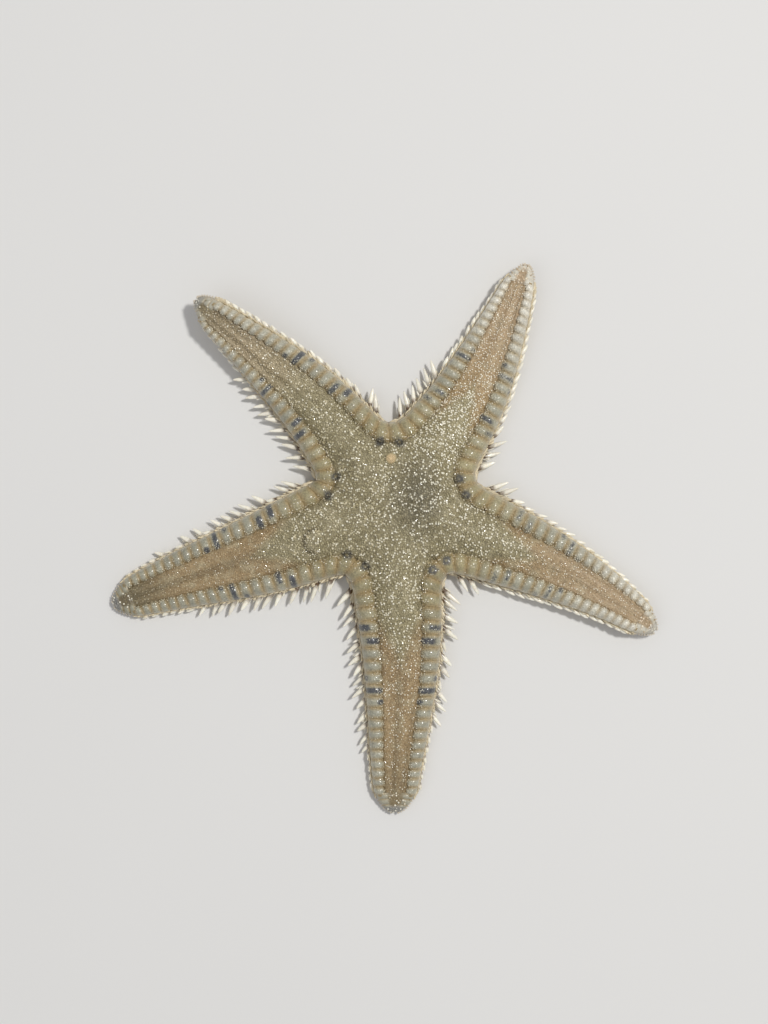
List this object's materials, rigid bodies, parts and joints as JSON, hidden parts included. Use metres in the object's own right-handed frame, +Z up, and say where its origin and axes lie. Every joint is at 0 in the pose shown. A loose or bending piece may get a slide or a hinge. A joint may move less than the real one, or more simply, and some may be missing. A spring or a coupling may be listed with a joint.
{
  "type": "sand star",
  "caption": "Life-size sand star at rest: flat disc, tapering arms edged with barred plates and side spines, furrows with pointed tube feet.",
  "frame": {"origin": "on the floor, under the middle of the animal's bounding box", "axes": "+Z up from the floor, +X to the right and +Y to the top of the picture, looking down on the animal's back"},
  "size_m": [0.0765, 0.0769, 0.0065],
  "materials": {
    "skin": "wet olive-grey skin set with fine grained paxillae",
    "plates": "wet pale blue-grey plates, khaki in the grooves, with dark slate bars and cream spines",
    "tips": "wet bluish-grey terminal plates",
    "sieve": "tan, finely furrowed",
    "mouth": "wet cream jaws and membrane"
  },
  "bodies": {
    "root": {"disc": "skin", "arm_upper_right": "skin", "arm_upper_left": "skin", "arm_left": "skin", "arm_lower": "skin", "arm_right": "skin", "margin_upper_right_left": "plates", "margin_upper_right_right": "plates", "margin_upper_left_left": "plates", "margin_upper_left_right": "plates", "margin_left_left": "plates", "margin_left_right": "plates", "margin_lower_left": "plates", "margin_lower_right": "plates", "margin_right_left": "plates", "margin_right_right": "plates", "tip_upper_right": "tips", "tip_upper_left": "tips", "tip_left": "tips", "tip_lower": "tips", "tip_right": "tips", "sieve_plate": "sieve", "mouth": "mouth"}
  },
  "joints": []
}
